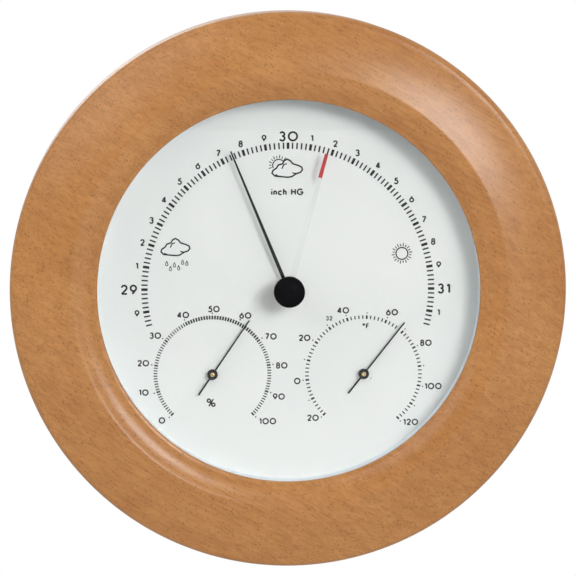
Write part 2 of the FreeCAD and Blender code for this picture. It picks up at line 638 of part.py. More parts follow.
def coil(x, z, thick):
    return spiral(SMALL_COLLET_R + thick / 2, COIL_GROWTH, COIL_TURNS, thick, COIL_D0, COIL_D1, x, z)


def small_arbor(x, z):
    """Brass staff of a small instrument, with its collet and the turned end that shows in the hand's boss."""
    return turned([
        (0, 8.25), (SMALL_ARBOR_R, 8.25), (SMALL_ARBOR_R, 10.6), (SMALL_COLLET_R, 10.6), (SMALL_COLLET_R, 14.6),
        (SMALL_ARBOR_R, 14.6),
        (SMALL_ARBOR_R, 20.9), (0.9, 20.9), (0.9, 22.55), ("via", 0.82, 22.75), (0.6, 22.85),
        (0.28, 22.85), (0.22, 22.6), (0, 22.6),
    ], x, z)


def small_hand(x, z, clock):
    """Slim black hand with a counterweight tail and a round boss."""
    arm = blade(clock, -SMALL_TAIL_R, SMALL_HAND_R, 0.65, 0.5, SMALL_HAND_D0, SMALL_HAND_D1, x, z)
    boss = turned([
        (0.9, 21.1), (1.7, 21.1), (2.0, 21.4), (2.0, 22.1), ("via", 1.9, 22.35), (1.65, 22.45), (0.9, 22.45),
    ], x, z)
    return arm.cut(cyl(1.2, 20, 24, x, z)).fuse(boss)


# ---------------------------------------------------------------- build
def main():
    os.makedirs(OUT, exist_ok=True)
    nodes = {
        "wood_case": wood_case(),
        "hanger_plate": hanger_plate(),
        "hanger_screws": group([hanger_screw(x, z) for x, z in HANGER_SCREWS]),
        "rear_cover": rear_cover(),
        "rear_cover_screws": group([wood_screw(x, z, COVER_BACK, 10.5) for x, z in COVER_SCREWS]),
        "dial_clips": group([dial_clip(a) for a in CLIP_ANGLES]),
        "dial_clip_screws": group([clip_screw(a) for a in CLIP_ANGLES]),
        "glass": glass(),
        "setting_bush": setting_bush(),
        "setting_knob": setting_knob(),
        "setting_washer": setting_washer(),
        "setting_spindle": setting_spindle(),
        "setting_hand": setting_hand(),
        "setting_hand_tip": setting_hand_tip(),
        "spacer_ring": spacer_ring(),
        "dial_plate": dial_plate(),
        "movement_back_plate": back_plate(),
        "movement_front_plate": front_plate(),
        "movement_pillars": pillars(),
        "pillar_nuts": pillar_nuts(),
        "centre_tube": centre_tube(),
        "centre_nut": centre_nut(),
        "movement_bridge": bridge(),
        "bridge_posts": bridge_posts(),
        "capsule_rear_shell": capsule_rear_shell(),
        "capsule_front_shell": capsule_front_shell(),
        "capsule_leaf_spring": capsule_leaf(),
        "adjusting_screw": adjusting_screw(),
        "capsule_stem": capsule_stem(),
        "rocker_shaft": rocker(),
        "rocker_bearings": rocker_bearings(),
        "connecting_link": link(),
        "sector_gear": sector(),
        "sector_arbor": sector_arbor(),
        "barometer_pinion": pinion(),
        "barometer_arbor": barometer_arbor(),
        "hairspring": hairspring(),
        "hairspring_collet": hairspring_collet(),
        "hairspring_stud": hairspring_stud(),
        "barometer_hand": barometer_hand(),
    }
    for name, side, clock, thick in (
        ("hygrometer", -1, HYGRO_HAND_ANGLE, 0.3),
        ("thermometer", 1, THERMO_HAND_ANGLE, 0.5),
    ):
        at = (side * SUB_X, SUB_Z)
        nodes[name + "_frame"] = instrument_frame(*at)
        nodes[name + "_rivets"] = instrument_rivets(*at)
        nodes[name + "_regulator"] = regulator(*at, thick)
        nodes[name + "_coil"] = coil(*at, thick)
        nodes[name + "_arbor"] = small_arbor(*at)
        nodes[name + "_hand"] = small_hand(*at, clock)
    for name, shape in nodes.items():
        save(name, shape)
    print(len(nodes), "nodes")


main()
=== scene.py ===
"""Looks of the turned beech weather station: its wood, window, printed dial, hands, back and movements.

All lengths are metres in the object's own frame. The dial faces -Y, +Z is up and the main dial's axis is
the Y axis. A depth is a distance out from the wall, so it is -Y. Sizes held in millimetres end in _mm or sit
in tables whose docstring says so.
"""

import json
import logging
import math
from dataclasses import dataclass, field
from enum import Enum
from typing import Any, Callable, Sequence

import bmesh
import bpy
from mathutils import Matrix, Vector


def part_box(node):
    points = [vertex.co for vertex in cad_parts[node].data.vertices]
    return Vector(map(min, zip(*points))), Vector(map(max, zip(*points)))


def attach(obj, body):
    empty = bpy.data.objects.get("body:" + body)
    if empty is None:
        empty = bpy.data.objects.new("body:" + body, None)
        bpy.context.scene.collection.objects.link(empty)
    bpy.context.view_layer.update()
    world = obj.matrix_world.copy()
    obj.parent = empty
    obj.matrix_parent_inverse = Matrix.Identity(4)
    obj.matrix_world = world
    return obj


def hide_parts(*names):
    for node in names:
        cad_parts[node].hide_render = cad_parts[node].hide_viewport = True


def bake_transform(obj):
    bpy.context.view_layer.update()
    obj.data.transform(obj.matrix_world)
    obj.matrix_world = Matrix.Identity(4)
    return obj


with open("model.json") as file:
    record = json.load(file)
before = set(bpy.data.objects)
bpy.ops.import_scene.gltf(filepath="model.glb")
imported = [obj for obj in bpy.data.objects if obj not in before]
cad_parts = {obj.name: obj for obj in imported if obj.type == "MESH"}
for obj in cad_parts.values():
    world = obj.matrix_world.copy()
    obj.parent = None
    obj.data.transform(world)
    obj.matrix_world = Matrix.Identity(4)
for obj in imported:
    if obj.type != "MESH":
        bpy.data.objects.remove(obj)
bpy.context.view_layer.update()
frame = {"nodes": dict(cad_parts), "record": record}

MM = 0.001
CASE = "case"
Color = tuple[float, float, float]
Point = tuple[float, float]

log = logging.getLogger("weather_station")


# ------------------------------------------------------------------ places read from the CAD
def depth_span(node: str) -> Point:
    """Nearest and farthest depth of a CAD node from the wall.

    Args:
        node: the CAD node's name.

    Returns:
        The lower and higher depth, in metres.
    """
    low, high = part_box(node)
    return -high.y, -low.y


def axis_of(node: str) -> Point:
    """X and Z of the middle of a CAD node.

    Args:
        node: the CAD node's name.

    Returns:
        The middle's x and z, in metres.
    """
    low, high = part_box(node)
    return (low.x + high.x) / 2, (low.z + high.z) / 2


# ------------------------------------------------------------------ node trees
class Tree:
    """Short-hand for building one node tree."""

    def __init__(self, tree: bpy.types.NodeTree) -> None:
        """Keeps the tree to build in."""
        self.tree = tree

    def add(self, kind: str, inputs: dict[Any, Any] | None = None, **settings: Any) -> bpy.types.Node:
        """Adds a node, sets its properties, and sets or links its inputs.

        Args:
            kind: the node's type name without the leading "ShaderNode".
            inputs: values or output sockets, by input name or number.
            **settings: properties of the node.

        Returns:
            The new node.
        """
        node = self.tree.nodes.new(kind if kind.startswith("Node") else "ShaderNode" + kind)
        for name, value in settings.items():
            setattr(node, name, value)
        for name, value in (inputs or {}).items():
            if isinstance(value, bpy.types.NodeSocket):
                self.tree.links.new(value, node.inputs[name])
            else:
                node.inputs[name].default_value = value
        return node

    def math(self, operation: str, a: Any, b: Any = 0.0) -> bpy.types.NodeSocket:
        """One arithmetic step on sockets or numbers.

        Args:
            operation: the Math node's operation.
            a: first operand.
            b: second operand.

        Returns:
            The result's socket.
        """
        return self.add("Math", {0: a, 1: b}, operation=operation).outputs[0]

    def remap(self, value: Any, low: float, high: float, to_low: float = 0.0, to_high: float = 1.0) -> Any:
        """Stretches a range of a value onto another range, clamped.

        Args:
            value: the socket to read.
            low: start of the range read.
            high: end of the range read.
            to_low: result at low.
            to_high: result at high.

        Returns:
            The result's socket.
        """
        inputs = {0: value, 1: low, 2: high, 3: to_low, 4: to_high}
        return self.add("MapRange", inputs, clamp=True).outputs[0]

    def mix(self, factor: Any, a: Any, b: Any, blend: str = "MIX") -> bpy.types.NodeSocket:
        """Mixes two colours.

        Args:
            factor: share of the second colour.
            a: first colour.
            b: second colour.
            blend: the Mix node's blend type.

        Returns:
            The mixed colour's socket.
        """
        node = self.add("Mix", data_type="RGBA", blend_type=blend)
        for socket, value in ((node.inputs[0], factor), (node.inputs[6], a), (node.inputs[7], b)):
            if isinstance(value, bpy.types.NodeSocket):
                self.tree.links.new(value, socket)
            else:
                socket.default_value = value if isinstance(value, float) else (*value[:3], 1.0)
        return node.outputs[2]

    def noise(self, vector: Any, scale: float, detail: float = 2.0, roughness: float = 0.5) -> Any:
        """Noise value over a vector.

        Args:
            vector: coordinates.
            scale: repeats per unit of the vector.
            detail: octaves.
            roughness: strength of the fine octaves.

        Returns:
            The noise value's socket.
        """
        inputs = {"Vector": vector, "Scale": scale, "Detail": detail, "Roughness": roughness}
        return self.add("TexNoise", inputs).outputs["Fac"]

    def stretch(self, vector: Any, scale: Sequence[float], turn_y: float = 0.0) -> Any:
        """Turns coordinates about Y and then scales them axis by axis.

        Args:
            vector: coordinates to change.
            scale: factor on each axis.
            turn_y: turn about Y, in radians.

        Returns:
            The changed coordinates' socket.
        """
        turned = self.add("Mapping", {"Vector": vector, "Rotation": (0.0, turn_y, 0.0)})
        return self.add("Mapping", {"Vector": turned.outputs[0], "Scale": tuple(scale)}).outputs[0]


class Effect(Enum):
    """The surface effects that several materials share, each one node group."""

    GRAIN = "wood_grain"
    TURNING = "turning_marks"
    BRUSHING = "brushed_lines"
    SPECKLE = "fine_speckle"
    DUST = "settled_dust"


class EffectLibrary:
    """Builds each shared effect once and places it in materials."""

    def __init__(self) -> None:
        """Starts with no group built."""
        self.built: dict[Effect, bpy.types.NodeTree] = {}
        self.makers: dict[Effect, Callable[[Tree, Any], dict[str, Any]]] = {
            Effect.GRAIN: self.grain,
            Effect.TURNING: self.turning,
            Effect.BRUSHING: self.brushing,
            Effect.SPECKLE: self.speckle,
            Effect.DUST: self.dust,
        }
        self.sockets: dict[Effect, dict[str, Any]] = {
            Effect.GRAIN: {"Base": (0.5, 0.3, 0.1), "Fleck": (0.3, 0.1, 0.0), "Glow": (0.6, 0.4, 0.2)},
            Effect.TURNING: {"Pitch": 2500.0},
            Effect.BRUSHING: {"Scale": 1.0},
            Effect.SPECKLE: {"Scale": 3000.0},
            Effect.DUST: {"Amount": 0.3},
        }

    @staticmethod
    def grain(tree: Tree, inputs: Any) -> dict[str, Any]:
        """Beech: pale mottled figure, fine lines and many short dark rays."""
        vector = inputs["Vector"]
        turn, ray_turn = math.radians(-29), math.radians(-44)
        figure = tree.noise(tree.stretch(vector, (9, 26, 26), turn), 1.0, 3.0)
        lines = tree.noise(tree.stretch(vector, (85, 1300, 1300), turn), 1.0, 4.0, 0.62)
        mottle = tree.noise(tree.stretch(vector, (110, 330, 330), turn), 1.0, 3.0, 0.6)
        cells = tree.add("TexVoronoi",
                         {"Vector": tree.stretch(vector, (520, 1750, 1750), ray_turn), "Scale": 1.0})
        ray = tree.remap(cells.outputs["Distance"], 0.16, 0.42, 1.0, 0.0)
        patchy = tree.remap(tree.noise(vector, 240.0, 2.0), 0.32, 0.55)
        chosen = tree.remap(cells.outputs["Color"], 0.2, 0.65)
        rays = tree.math("MULTIPLY", tree.math("MULTIPLY", ray, patchy), chosen)
        knots = tree.add("TexVoronoi", {"Vector": vector, "Scale": 70.0})
        knot = tree.remap(knots.outputs["Distance"], 0.02, 0.07, 1.0, 0.0)
        bright = tree.math("MULTIPLY", tree.math("ADD", tree.remap(figure, 0.35, 0.68),
                                                 tree.remap(mottle, 0.38, 0.64)), 0.5)
        tone = tree.mix(bright, inputs["Base"], inputs["Glow"])
        lined = tree.mix(tree.remap(lines, 0.46, 0.78, 0.0, 0.42), tone, inputs["Fleck"])
        flecked = tree.mix(tree.math("MULTIPLY", rays, 0.72), lined, inputs["Fleck"])
        color = tree.mix(tree.math("MULTIPLY", knot, 0.12), flecked, inputs["Fleck"])
        height = tree.math("SUBTRACT", tree.math("MULTIPLY", lines, 0.5), tree.math("MULTIPLY", rays, 0.6))
        return {"Color": color, "Mask": rays, "Height": height}

    @staticmethod
    def turning(tree: Tree, inputs: Any) -> dict[str, Any]:
        """Fine rings round the Y axis, as a lathe tool leaves."""
        parts = tree.add("SeparateXYZ", {0: inputs["Vector"]})
        flat = tree.add("CombineXYZ", {0: parts.outputs[0], 1: 0.0, 2: parts.outputs[2]})
        radius = tree.add("VectorMath", {0: flat.outputs[0]}, operation="LENGTH").outputs["Value"]
        place = tree.math("MULTIPLY", radius, inputs["Pitch"])
        rings = tree.add("TexNoise", {"W": place, "Scale": 1.0, "Detail": 3.0}, noise_dimensions="1D")
        return {"Mask": rings.outputs["Fac"], "Height": rings.outputs["Fac"]}

    @staticmethod
    def brushing(tree: Tree, inputs: Any) -> dict[str, Any]:
        """Straight scratches along X."""
        scaled = tree.add("VectorMath", {0: inputs["Vector"], 3: inputs["Scale"]},
                          operation="SCALE").outputs[0]
        lines = tree.noise(tree.stretch(scaled, (60, 5000, 5000)), 1.0, 3.0, 0.6)
        return {"Mask": lines, "Height": lines}

    @staticmethod
    def speckle(tree: Tree, inputs: Any) -> dict[str, Any]:
        """Fine even texture of moulded plastic or enamel, over slow changes of tone."""
        scaled = tree.add("VectorMath", {0: inputs["Vector"], 3: inputs["Scale"]},
                          operation="SCALE").outputs[0]
        fine = tree.noise(scaled, 1.0, 3.0, 0.6)
        slow = tree.noise(inputs["Vector"], 28.0, 2.0)
        return {"Mask": slow, "Height": fine}

    @staticmethod
    def dust(tree: Tree, inputs: Any) -> dict[str, Any]:
        """Thin dust on what faces up, in loose patches."""
        normal = tree.add("NewGeometry").outputs["Normal"]
        up = tree.add("SeparateXYZ", {0: normal}).outputs[2]
        patches = tree.remap(tree.noise(inputs["Vector"], 180.0, 4.0, 0.6), 0.4, 0.7)
        facing = tree.remap(up, 0.1, 0.95)
        mask = tree.math("MULTIPLY", tree.math("MULTIPLY", facing, patches), inputs["Amount"])
        return {"Mask": mask, "Height": mask}

    def group(self, effect: Effect) -> bpy.types.NodeTree:
        """The node group of an effect, built at its first use.

        Args:
            effect: which effect.

        Returns:
            The group.
        """
        if effect in self.built:
            return self.built[effect]
        group = bpy.data.node_groups.new(effect.value, "ShaderNodeTree")
        face = group.interface
        face.new_socket("Vector", in_out="INPUT", socket_type="NodeSocketVector")
        for name, value in self.sockets[effect].items():
            kind = "NodeSocketFloat" if isinstance(value, float) else "NodeSocketColor"
            socket = face.new_socket(name, in_out="INPUT", socket_type=kind)
            socket.default_value = value if isinstance(value, float) else (*value, 1.0)
        tree = Tree(group)
        results = self.makers[effect](tree, tree.add("NodeGroupInput").outputs)
        out = tree.add("NodeGroupOutput")
        for name, socket in results.items():
            kind = "NodeSocketColor" if name == "Color" else "NodeSocketFloat"
            face.new_socket(name, in_out="OUTPUT", socket_type=kind)
            group.links.new(socket, out.inputs[name])
        self.built[effect] = group
        return group

    def place(self, tree: Tree, effect: Effect, **values: Any) -> bpy.types.Node:
        """Puts an effect in a material, on its object coordinates.

        Args:
            tree: the material's tree.
            effect: which effect.
            **values: the group's inputs.

        Returns:
            The group node.
        """
        node = tree.add("Group", node_tree=self.group(effect))
        coordinates = tree.add("TexCoord").outputs["Object"]
        tree.tree.links.new(coordinates, node.inputs["Vector"])
        for name, value in values.items():
            node.inputs[name].default_value = (*value, 1.0) if isinstance(value, tuple) else value
        return node


EFFECTS = EffectLibrary()


# ------------------------------------------------------------------ finishes
@dataclass(frozen=True)
class Finish:
    """A surface: two tones, a shared effect that varies them, and constant shader settings."""

    name: str
    tone: Color
    second_tone: Color
    effect: Effect = Effect.SPECKLE
    values: dict[str, Any] = field(default_factory=dict)
    roughness: Point = (0.4, 0.55)
    bump: float = 0.1
    bump_mm: float = 0.02
    metallic: float = 0.0
    coat: float = 0.0
    coat_roughness: float = 0.2
    transmission: float = 0.0
    ior: float = 1.5
    specular: float = 0.5
    dust: float = 0.0

    def material(self) -> bpy.types.Material:
        """Builds the material, or returns it if it is built already."""
        known = BUILT.get(self.name)
        if known:
            return known
        made = bpy.data.materials.new(self.name)
        made.use_nodes = True
        made.node_tree.nodes.clear()
        tree = Tree(made.node_tree)
        effect = EFFECTS.place(tree, self.effect, **self.values)
        mask = effect.outputs["Mask"]
        if "Color" in effect.outputs:
            color = effect.outputs["Color"]
        else:
            color = tree.mix(tree.remap(mask, 0.3, 0.7), self.tone, self.second_tone)
        rough = tree.remap(mask, 0.25, 0.75, *self.roughness)
        if self.dust:
            dust = EFFECTS.place(tree, Effect.DUST, Amount=self.dust).outputs["Mask"]
            color = tree.mix(dust, color, (0.46, 0.44, 0.41))
            rough = tree.math("MAXIMUM", rough, tree.math("MULTIPLY", dust, 0.9))
        bump = tree.add(
            "Bump", {"Strength": self.bump, "Distance": self.bump_mm * MM, "Height": effect.outputs["Height"]}
        )
        shader = tree.add("BsdfPrincipled", {
            "Base Color": color, "Roughness": rough, "Normal": bump.outputs[0], "Metallic": self.metallic,
            "Coat Weight": self.coat, "Coat Roughness": self.coat_roughness, "IOR": self.ior,
            "Transmission Weight": self.transmission, "Specular IOR Level": self.specular,
        })
        surface = shader.outputs[0]
        if self.transmission:
            clear = tree.add("BsdfTransparent", {0: (*self.tone, 1.0)})
            seen = tree.add("LightPath").outputs["Is Shadow Ray"]
            surface = tree.add("MixShader", {0: seen, 1: surface, 2: clear.outputs[0]}).outputs[0]
        tree.add("OutputMaterial", {"Surface": surface})
        BUILT[self.name] = made
        return made


BUILT: dict[str, bpy.types.Material] = {}

BEECH = Finish(
    "turned_beech", (0.56, 0.27, 0.10), (0.3, 0.12, 0.04), Effect.GRAIN,
    {"Base": (0.555, 0.222, 0.056), "Glow": (0.700, 0.318, 0.094), "Fleck": (0.255, 0.086, 0.024)},
    (0.42, 0.52), 0.14, 0.03, coat=0.6, coat_roughness=0.25, specular=0.3,
)
FINISHES: dict[str, Finish] = {
    "beech": BEECH,
    "brass_plate": Finish("brushed_brass", (0.66, 0.45, 0.17), (0.78, 0.58, 0.27), Effect.BRUSHING,
                          roughness=(0.24, 0.42), bump=0.15, metallic=1.0, dust=0.25),
    "brass_turned": Finish("turned_brass", (0.72, 0.50, 0.20), (0.86, 0.66, 0.33), Effect.TURNING,
                           {"Pitch": 9000.0}, (0.16, 0.30), 0.12, 0.01, metallic=1.0),
    "black_plastic": Finish("moulded_black_plastic", (0.022, 0.022, 0.024), (0.034, 0.034, 0.036),
                            values={"Scale": 2200.0}, roughness=(0.42, 0.56), bump=0.35, dust=0.12),
    "steel_screw": Finish("plated_steel", (0.46, 0.46, 0.47), (0.66, 0.66, 0.66), Effect.BRUSHING,
                          {"Scale": 1.6}, (0.25, 0.42), 0.15, metallic=1.0, dust=0.15),
    "window_glass": Finish("clear_float_glass", (0.975, 0.99, 0.985), (0.985, 0.995, 0.99),
                           roughness=(0.0, 0.01),
                           bump=0.0, transmission=1.0, ior=1.45),
    "knob_black": Finish("turned_black_knob", (0.004, 0.004, 0.005), (0.009, 0.009, 0.010), Effect.TURNING,
                         {"Pitch": 5200.0}, (0.42, 0.55), 0.35, 0.02, specular=0.05),
    "clear_acrylic": Finish("clear_cut_acrylic", (0.93, 0.95, 0.95), (0.96, 0.97, 0.97),
                            values={"Scale": 900.0},
                            roughness=(0.03, 0.10), bump=0.02, transmission=1.0, ior=1.4),
    "red_paint": Finish("signal_red_paint", (0.46, 0.010, 0.012), (0.54, 0.018, 0.018),
                        values={"Scale": 2600.0},
                        roughness=(0.3, 0.42), bump=0.08, coat=0.2),
    # The spacer's bluish grey tint is painted shade: it stands in for the blue-grey cast of the shaded
    # crescent at the dial's right edge.
    "white_plastic": Finish("white_ring_painted_shade_tint", (0.74, 0.79, 0.84), (0.78, 0.83, 0.87),
                            values={"Scale": 1800.0},
                            roughness=(0.45, 0.6), bump=0.08),
    "dial_white": Finish("dial_enamel", (0.765, 0.760, 0.745), (0.785, 0.780, 0.762),
                         values={"Scale": 1400.0},
                         roughness=(0.42, 0.56), bump=0.05),
    "capsule_bronze": Finish("pressed_bronze", (0.60, 0.36, 0.16), (0.76, 0.52, 0.28), Effect.SPECKLE,
                             {"Scale": 700.0}, (0.25, 0.42), 0.1, metallic=1.0),
    "spring_steel": Finish("blued_steel", (0.09, 0.12, 0.22), (0.16, 0.19, 0.30), Effect.BRUSHING,
                           {"Scale": 2.0}, (0.22, 0.36), 0.1, metallic=1.0),
    "hand_black": Finish("hand_matt_black", (0.002, 0.002, 0.002), (0.005, 0.005, 0.005),
                         values={"Scale": 5000.0},
                         roughness=(0.5, 0.6), bump=0.12, specular=0.06),
    "humidity_strip": Finish("gelatine_strip", (0.50, 0.38, 0.20), (0.66, 0.54, 0.34),
                             values={"Scale": 1200.0},
                             roughness=(0.45, 0.62), bump=0.2),
    "bimetal_strip": Finish("rolled_bimetal", (0.44, 0.36, 0.28), (0.62, 0.53, 0.42), Effect.BRUSHING,
                            {"Scale": 1.2}, (0.28, 0.44), 0.15, metallic=1.0),
}
INK = Finish("printing_ink", (0.002, 0.002, 0.002), (0.005, 0.005, 0.005), values={"Scale": 6000.0},
             roughness=(0.5, 0.62), bump=0.05, specular=0.06)


# ------------------------------------------------------------------ making pieces
def finished_piece(name: str, bm: bmesh.types.BMesh, finish: Finish, body: str | None = CASE,
                   crease_deg: float = 34.0) -> bpy.types.Object:
    """Turns a bmesh into a piece of the object, shaded smooth between its creases.

    Args:
        name: the piece's name.
        bm: its mesh, in place in the object's frame. It is freed.
        finish: its surface.
        body: the CAD body it rides on, or None for a piece left on no body.
        crease_deg: edges that turn by more than this stay sharp.

    Returns:
        The piece.
    """
    bmesh.ops.remove_doubles(bm, verts=bm.verts, dist=1e-7)
    bmesh.ops.recalc_face_normals(bm, faces=bm.faces)
    for face in bm.faces:
        face.smooth = True
    for edge in bm.edges:
        edge.smooth = len(edge.link_faces) == 2 and edge.calc_face_angle() < math.radians(crease_deg)
    mesh = bpy.data.meshes.new(name)
    bm.to_mesh(mesh)
    bm.free()
    mesh.materials.append(finish.material())
    piece = bpy.data.objects.new(name, mesh)
    bpy.context.scene.collection.objects.link(piece)
    if body:
        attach(piece, body)
    log.info("piece %s: %d faces on %s", name, len(mesh.polygons), body)
    return piece


def bend(a: Point, via: Point, b: Point, steps: int) -> list[Point]:
    """Points on the arc from a through via to b, without a itself.

    Args:
        a: first end.
        via: a point on the way.
        b: second end.
        steps: how many points.

    Returns:
        The points, ending with b.
    """
    (ax, ay), (bx, by), (cx, cy) = a, via, b
    d = 2 * (ax * (by - cy) + bx * (cy - ay) + cx * (ay - by))
    a2, b2, c2 = ax * ax + ay * ay, bx * bx + by * by, cx * cx + cy * cy
    ux = (a2 * (by - cy) + b2 * (cy - ay) + c2 * (ay - by)) / d
    uy = (a2 * (cx - bx) + b2 * (ax - cx) + c2 * (bx - ax)) / d
    radius = math.hypot(ax - ux, ay - uy)
    start = math.atan2(ay - uy, ax - ux)
    sweep = (math.atan2(cy - uy, cx - ux) - start + math.pi) % (2 * math.pi) - math.pi
    return [
        (ux + radius * math.cos(start + sweep * i / steps), uy + radius * math.sin(start + sweep * i / steps))
        for i in range(1, steps + 1)
    ]


class Turning:
    """A turned shape: a closed outline of (radius, depth) points in millimetres, spun about the Y axis."""

    def __init__(self, start: Point) -> None:
        """Starts the outline."""
        self.points: list[Point] = [start]

    def to(self, *points: Point) -> "Turning":
        """Adds straight runs."""
        self.points += points
        return self

    def arc(self, via: Point, end: Point, steps: int = 8) -> "Turning":
        """Adds an arc through via."""
        self.points += bend(self.points[-1], via, end, steps)
        return self

    def mesh(self, steps: int = 192) -> bmesh.types.BMesh:
        """Spins the outline.

        Args:
            steps: flats round the circle.

        Returns:
            The closed mesh.
        """
        bm = bmesh.new()
        verts = [bm.verts.new((r * MM, -d * MM, 0.0)) for r, d in self.points]
        edges = [bm.edges.new(pair) for pair in zip(verts, verts[1:])]
        if all(r > 0 for r, _ in (self.points[0], self.points[-1])):
            edges.append(bm.edges.new((verts[-1], verts[0])))
        bmesh.ops.spin(
            bm, geom=verts + edges, cent=(0, 0, 0), axis=(0, 1, 0),
            angle=math.tau, steps=steps, use_merge=True
        )
        bmesh.ops.remove_doubles(bm, verts=bm.verts, dist=1e-7)
        bmesh.ops.dissolve_degenerate(bm, edges=bm.edges, dist=1e-8)
        return bm


def cut(piece: bpy.types.Object, cutters: Sequence[bmesh.types.BMesh]) -> None:
    """Takes closed meshes out of a piece, for good.

    Args:
        piece: the piece to cut.
        cutters: meshes to take out. They are freed.
    """
    tools = []
    for bm in cutters:
        mesh = bpy.data.meshes.new("cutter")
        bmesh.ops.recalc_face_normals(bm, faces=bm.faces)
        bm.to_mesh(mesh)
        bm.free()
        tool = bpy.data.objects.new("cutter", mesh)
        bpy.context.scene.collection.objects.link(tool)
        step = piece.modifiers.new("cut", "BOOLEAN")
        step.operation, step.object, step.solver = "DIFFERENCE", tool, "EXACT"
        tools.append(tool)
    graph = bpy.context.evaluated_depsgraph_get()
    result = bpy.data.meshes.new_from_object(piece.evaluated_get(graph), depsgraph=graph)
    piece.modifiers.clear()
    old = piece.data
    piece.data = result
    bpy.data.meshes.remove(old)
    result.name = piece.name
    for tool in tools:
        bpy.data.meshes.remove(tool.data)


# ------------------------------------------------------------------ case
@dataclass
class BeechCase:
    """The turned ring. Radii and depths are millimetres."""

    radius: float = 105.0
    wall: float = 29.3
    ridge: Point = (82.4, 35.0)
    lip: Point = (72.1, 32.0)
    lip_thick: float = 1.8
    rebate: float = 75.6
    cavity: float = 80.0
    seat: Point = (86.0, 3.2)
    dial_back: float = 19.4

    def outline(self) -> Turning:
        """The ring's section, from the cover's seat round the outside to the window and the chamber."""
        r, w = self.radius, self.wall
        ridge_r, ridge_d = self.ridge
        lip_r, lip_d = self.lip
        back = lip_d - self.lip_thick
        line = Turning((self.seat[0], 0.0)).to((95.0, 0.0), (r - 2.0, 0.0)).arc((r - 0.6, 0.6), (r, 2.0))
        line.to((r, 12.0), (r, w - 2.6)).arc((r - 0.75, w - 0.75), (r - 2.5, w + 0.1))
        line.arc((93.4, 32.55), (ridge_r + 1.7, ridge_d - 0.25), 14).arc((ridge_r, ridge_d),
                                                                         (ridge_r - 1.7, ridge_d - 0.3))
        line.arc((76.9, 33.95), (lip_r + 0.9, lip_d), 8).arc((lip_r + 0.25, lip_d - 0.25),
                                                             (lip_r, lip_d - 0.9), 6)
        line.to((lip_r, back), (self.rebate, back), (self.rebate, self.dial_back),
                (self.cavity, self.dial_back))
        return line.to((self.cavity, self.seat[1]), self.seat)

    def hanger_pocket(self) -> list[bmesh.types.BMesh]:
        """The let-in seat of the hanger plate and the slot behind it for a screw's head."""
        low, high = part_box("hanger_plate")
        gap, deep, head_r = 0.1 * MM, 7.5 * MM, 4.7 * MM
        hole_z, lift, start = 0.0926, 0.004, 0.002
        seat = bmesh.new()
        size = high - low + Vector((2 * gap, 0, 2 * gap))
        middle = (low + high) / 2 + Vector((0, size.y / 2, 0))
        bmesh.ops.create_cube(seat, size=1.0, matrix=Matrix.Translation(middle) @
                              Matrix.Diagonal((size.x, size.y * 2, size.z, 1)))
        slot = bmesh.new()
        bmesh.ops.create_circle(slot, cap_ends=True, segments=48, radius=head_r,
                                matrix=Matrix.Translation((0, start, hole_z)) @
                                Matrix.Rotation(math.pi / 2, 4, "X"))
        for vert in slot.verts:
            if vert.co.z > hole_z + 1e-6:
                vert.co.z += lift
        sides = bmesh.ops.extrude_face_region(slot, geom=slot.faces[:])
        bmesh.ops.translate(slot, vec=(0, -(deep + start), 0),
                            verts=[v for v in sides["geom"] if isinstance(v, bmesh.types.BMVert)])
        return [seat, slot]

    def build(self) -> None:
        """Makes the ring in place of the CAD's faceted one."""
        ring = finished_piece("beech_ring", self.outline().mesh(240), BEECH)
        cut(ring, self.hanger_pocket())
        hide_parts("wood_case")


@dataclass
class FrontDiaphragm:
    """The capsule's corrugated front shell, on no body. In the real capsule its rim stays put and its face
    goes with the stem. Millimetres.
    """

    radius: float = 20.0
    band: Point = (3.4, 19.1)
    face: float = 10.4
    rim: float = 8.82
    skin: float = 0.3
    waves: int = 4
    wave_height: float = 0.33

    def corrugate(self, line: Turning, level: float, outward: bool) -> None:
        """Adds the corrugated band to an outline.

        Args:
            line: the outline, ending at the band's near edge.
            level: the depth the waves swing about.
            outward: whether the outline runs from the axis to the rim.
        """
        inner, outer = self.band
        half = (outer - inner) / self.waves / 2
        for i in range(2 * self.waves):
            step = i if outward else 2 * self.waves - 1 - i
            swing = self.wave_height if step % 2 == 0 else -self.wave_height
            near, far = inner + step * half, inner + (step + 1) * half
            line.arc(((near + far) / 2, level + swing), (far if outward else near, level), 6)

    def build(self) -> None:
        """Makes the shell in place of the CAD's one and leaves it on no body."""
        inside, flange = self.face - self.skin, self.rim + self.skin
        inner, outer = self.band
        line = Turning((0.0, inside)).to((inner, inside))
        self.corrugate(line, inside, True)
        line.to((outer, self.rim), (self.radius, self.rim), (self.radius, flange),
                (outer + self.skin, flange))
        line.to((outer + self.skin, self.face), (outer, self.face))
        self.corrugate(line, self.face, False)
        line.to((0.0, self.face))
        bm = line.mesh(120)
        x, z = axis_of("capsule_front_shell")
        bmesh.ops.translate(bm, vec=(x, 0.0, z), verts=bm.verts)
        shell = finished_piece("front_diaphragm", bm, FINISHES["capsule_bronze"], None)
        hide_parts("capsule_front_shell")
        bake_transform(shell)


